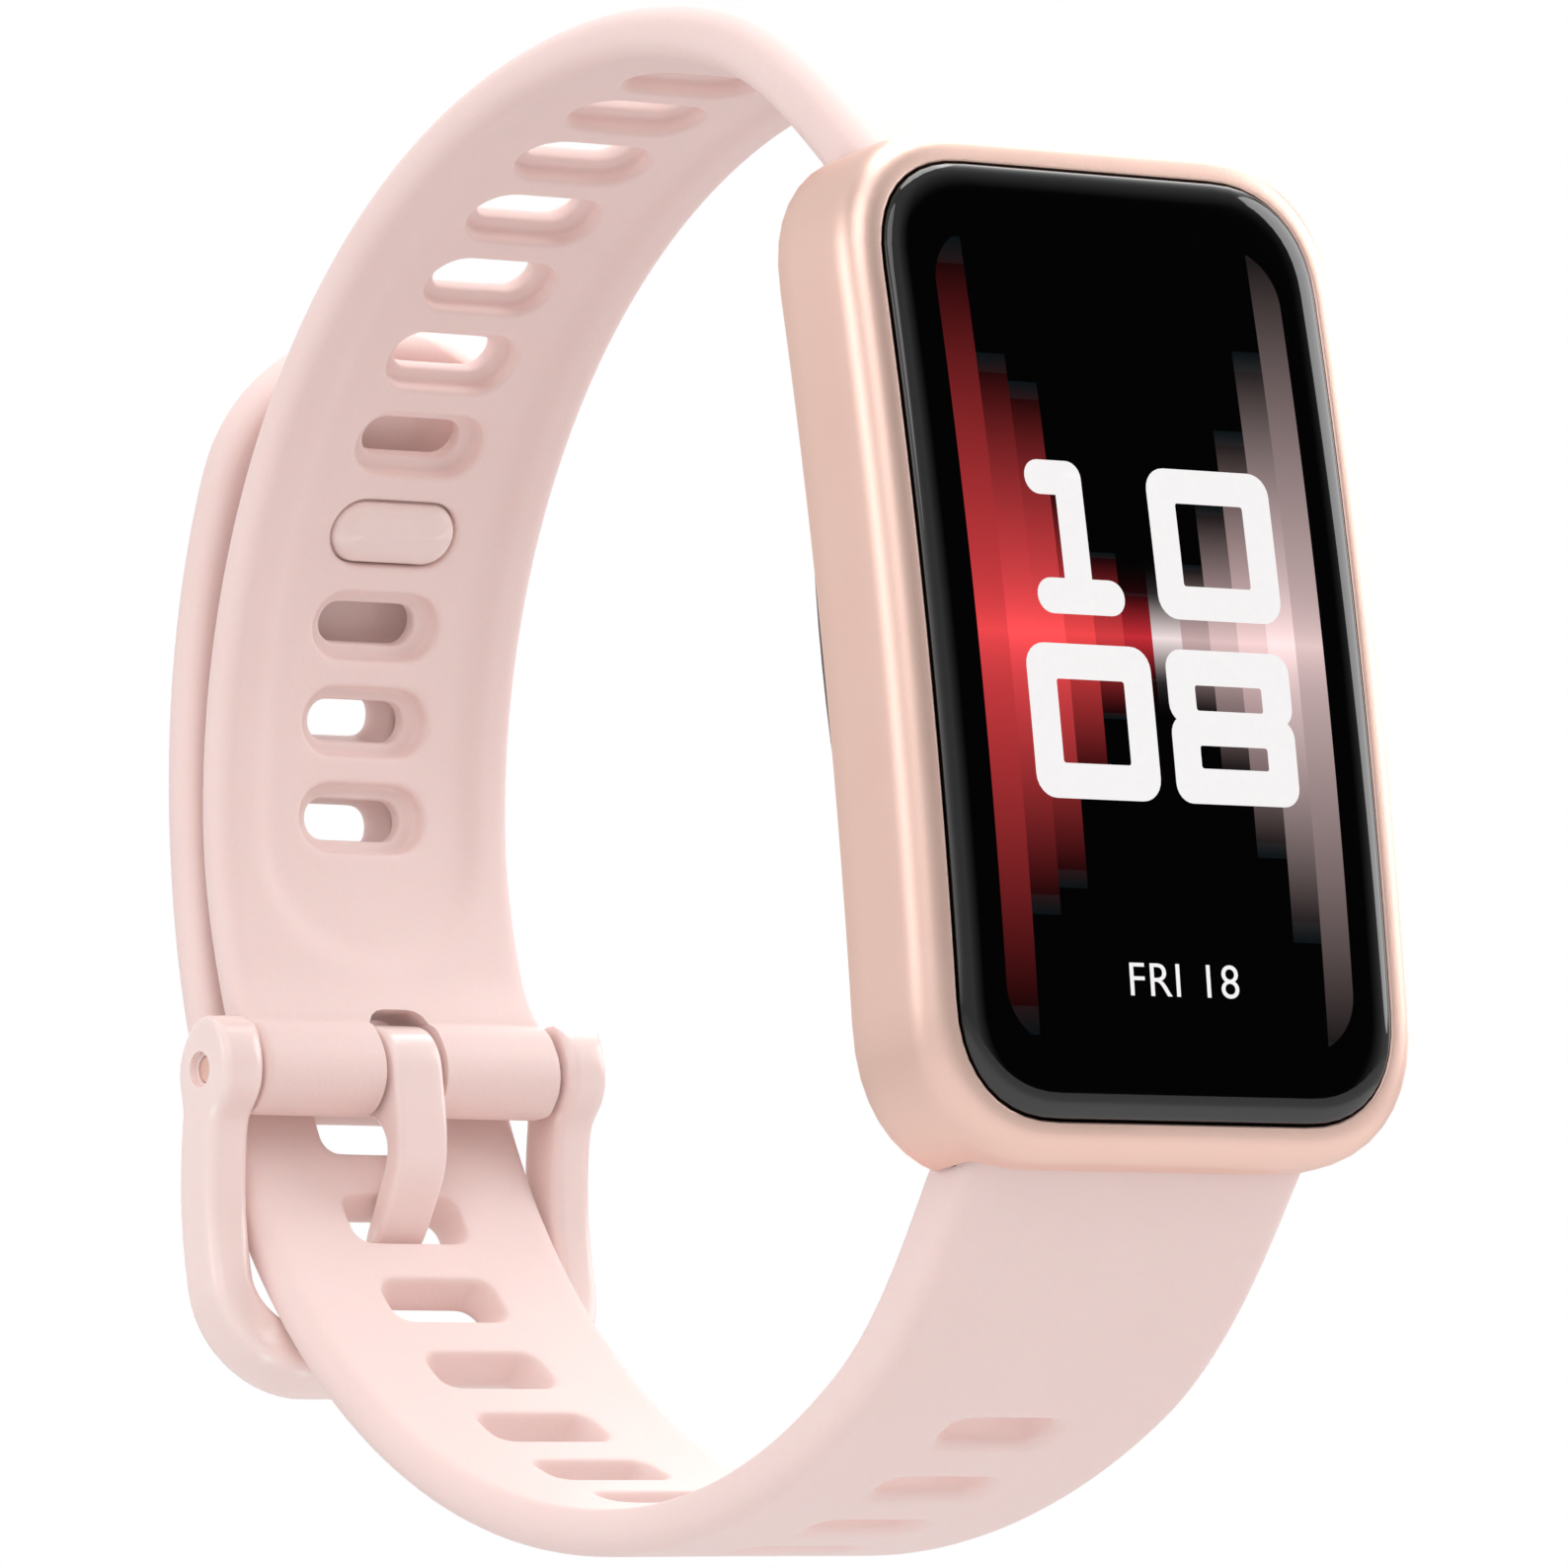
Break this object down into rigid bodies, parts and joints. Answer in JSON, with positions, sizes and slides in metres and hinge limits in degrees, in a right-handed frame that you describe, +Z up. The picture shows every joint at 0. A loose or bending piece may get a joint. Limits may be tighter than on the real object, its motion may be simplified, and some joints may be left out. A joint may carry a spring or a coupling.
{
  "type": "fitness tracker band",
  "caption": "Slim fitness tracker: satin metal case with a curved tall touch display on a soft pin-and-tuck strap, buckled into a wrist loop.",
  "frame": {"origin": "centre of the strap loop, where the wearer's wrist passes through", "axes": "+X along the wrist, to the right of the screen as its wearer reads it; -Y out of the screen; +Z up the long side of the screen"},
  "size_m": [0.0253, 0.0607, 0.0637],
  "materials": {
    "satin_metal": "bead-blasted satin, anodised rose gold",
    "black_cover": "fine matte black",
    "gasket": "soft matte",
    "cover_glass": "polished, with a dark print behind",
    "adhesive": "film",
    "panel": "lit display behind glass",
    "chassis_metal": "machined",
    "steel": "bright",
    "board": "solder mask",
    "chip": "moulded package",
    "battery_foil": "laminated foil pouch",
    "brass_weight": "turned",
    "led": "clear package",
    "window": "dark tinted, polished",
    "gold": "gold plated",
    "flex": "polyimide film",
    "strap": "soft-touch moulded elastomer",
    "buckle": "smooth semi-gloss"
  },
  "bodies": {
    "band": {"case_frame": "satin_metal", "rear_cover": "black_cover", "rear_gasket": "gasket", "cover_glass": "cover_glass", "display_adhesive": "adhesive", "display_panel": "panel", "foam_pad": "gasket", "chassis": "chassis_metal", "chassis_screw_1": "steel", "chassis_screw_2": "steel", "chassis_screw_3": "steel", "main_board": "board", "processor_chip": "chip", "memory_chip": "chip", "shield_can": "steel", "battery": "battery_foil", "battery_tape": "adhesive", "motor_can": "steel", "motor_shaft": "steel", "sensor_board": "board", "sensor_led_1": "led", "sensor_led_2": "led", "photodiode_1": "chip", "photodiode_2": "chip", "sensor_barrier": "black_cover", "sensor_window": "window", "charge_contact_1": "gold", "charge_contact_2": "gold", "contact_flex": "flex", "display_flex": "flex", "antenna": "brass_weight", "button_seal": "gasket", "button_switch": "chip", "upper_strap": "strap", "upper_bar_sleeve": "steel", "upper_bar_spring": "steel", "lower_strap": "strap", "lower_bar_sleeve": "steel", "lower_bar_spring": "steel", "buckle_pin": "steel", "strap_stud": "buckle"},
    "side_button": {"button_cap": "satin_metal", "button_clip": "steel"},
    "rotor": {"motor_rotor": "brass_weight"},
    "upper_release": {"upper_bar_pin": "steel"},
    "lower_release": {"lower_bar_pin": "steel"},
    "buckle": {"buckle_frame": "buckle"},
    "tongue": {"buckle_tongue": "buckle"}
  },
  "joints": [
    {"name": "side_button_press", "type": "slide", "parent": "band", "child": "side_button", "axis": [-1, 0, 0], "range_m": [0, 0.00025], "stiffness_N_per_m": 3000, "springref_m": -0.0001},
    {"name": "rotor_spin", "type": "hinge", "parent": "band", "child": "rotor", "pos_m": [-0.0052, -0.02051, 0.0083], "axis": [0, 1, 0], "continuous": true},
    {"name": "upper_release_slide", "type": "slide", "parent": "band", "child": "upper_release", "axis": [-1, 0, 0], "range_m": [0, 0.0008], "stiffness_N_per_m": 1000, "springref_m": -0.0005, "deforming": ["upper_bar_spring"]},
    {"name": "lower_release_slide", "type": "slide", "parent": "band", "child": "lower_release", "axis": [-1, 0, 0], "range_m": [0, 0.0008], "stiffness_N_per_m": 1000, "springref_m": -0.0005, "deforming": ["lower_bar_spring"]},
    {"name": "buckle_hinge", "type": "hinge", "parent": "band", "child": "buckle", "pos_m": [0, 0.029, -0.0071], "axis": [1, 0, 0], "range_deg": [0, 100]},
    {"name": "tongue_hinge", "type": "hinge", "parent": "band", "child": "tongue", "pos_m": [0, 0.029, -0.0071], "axis": [1, 0, 0], "range_deg": [-75, 0]}
  ]
}
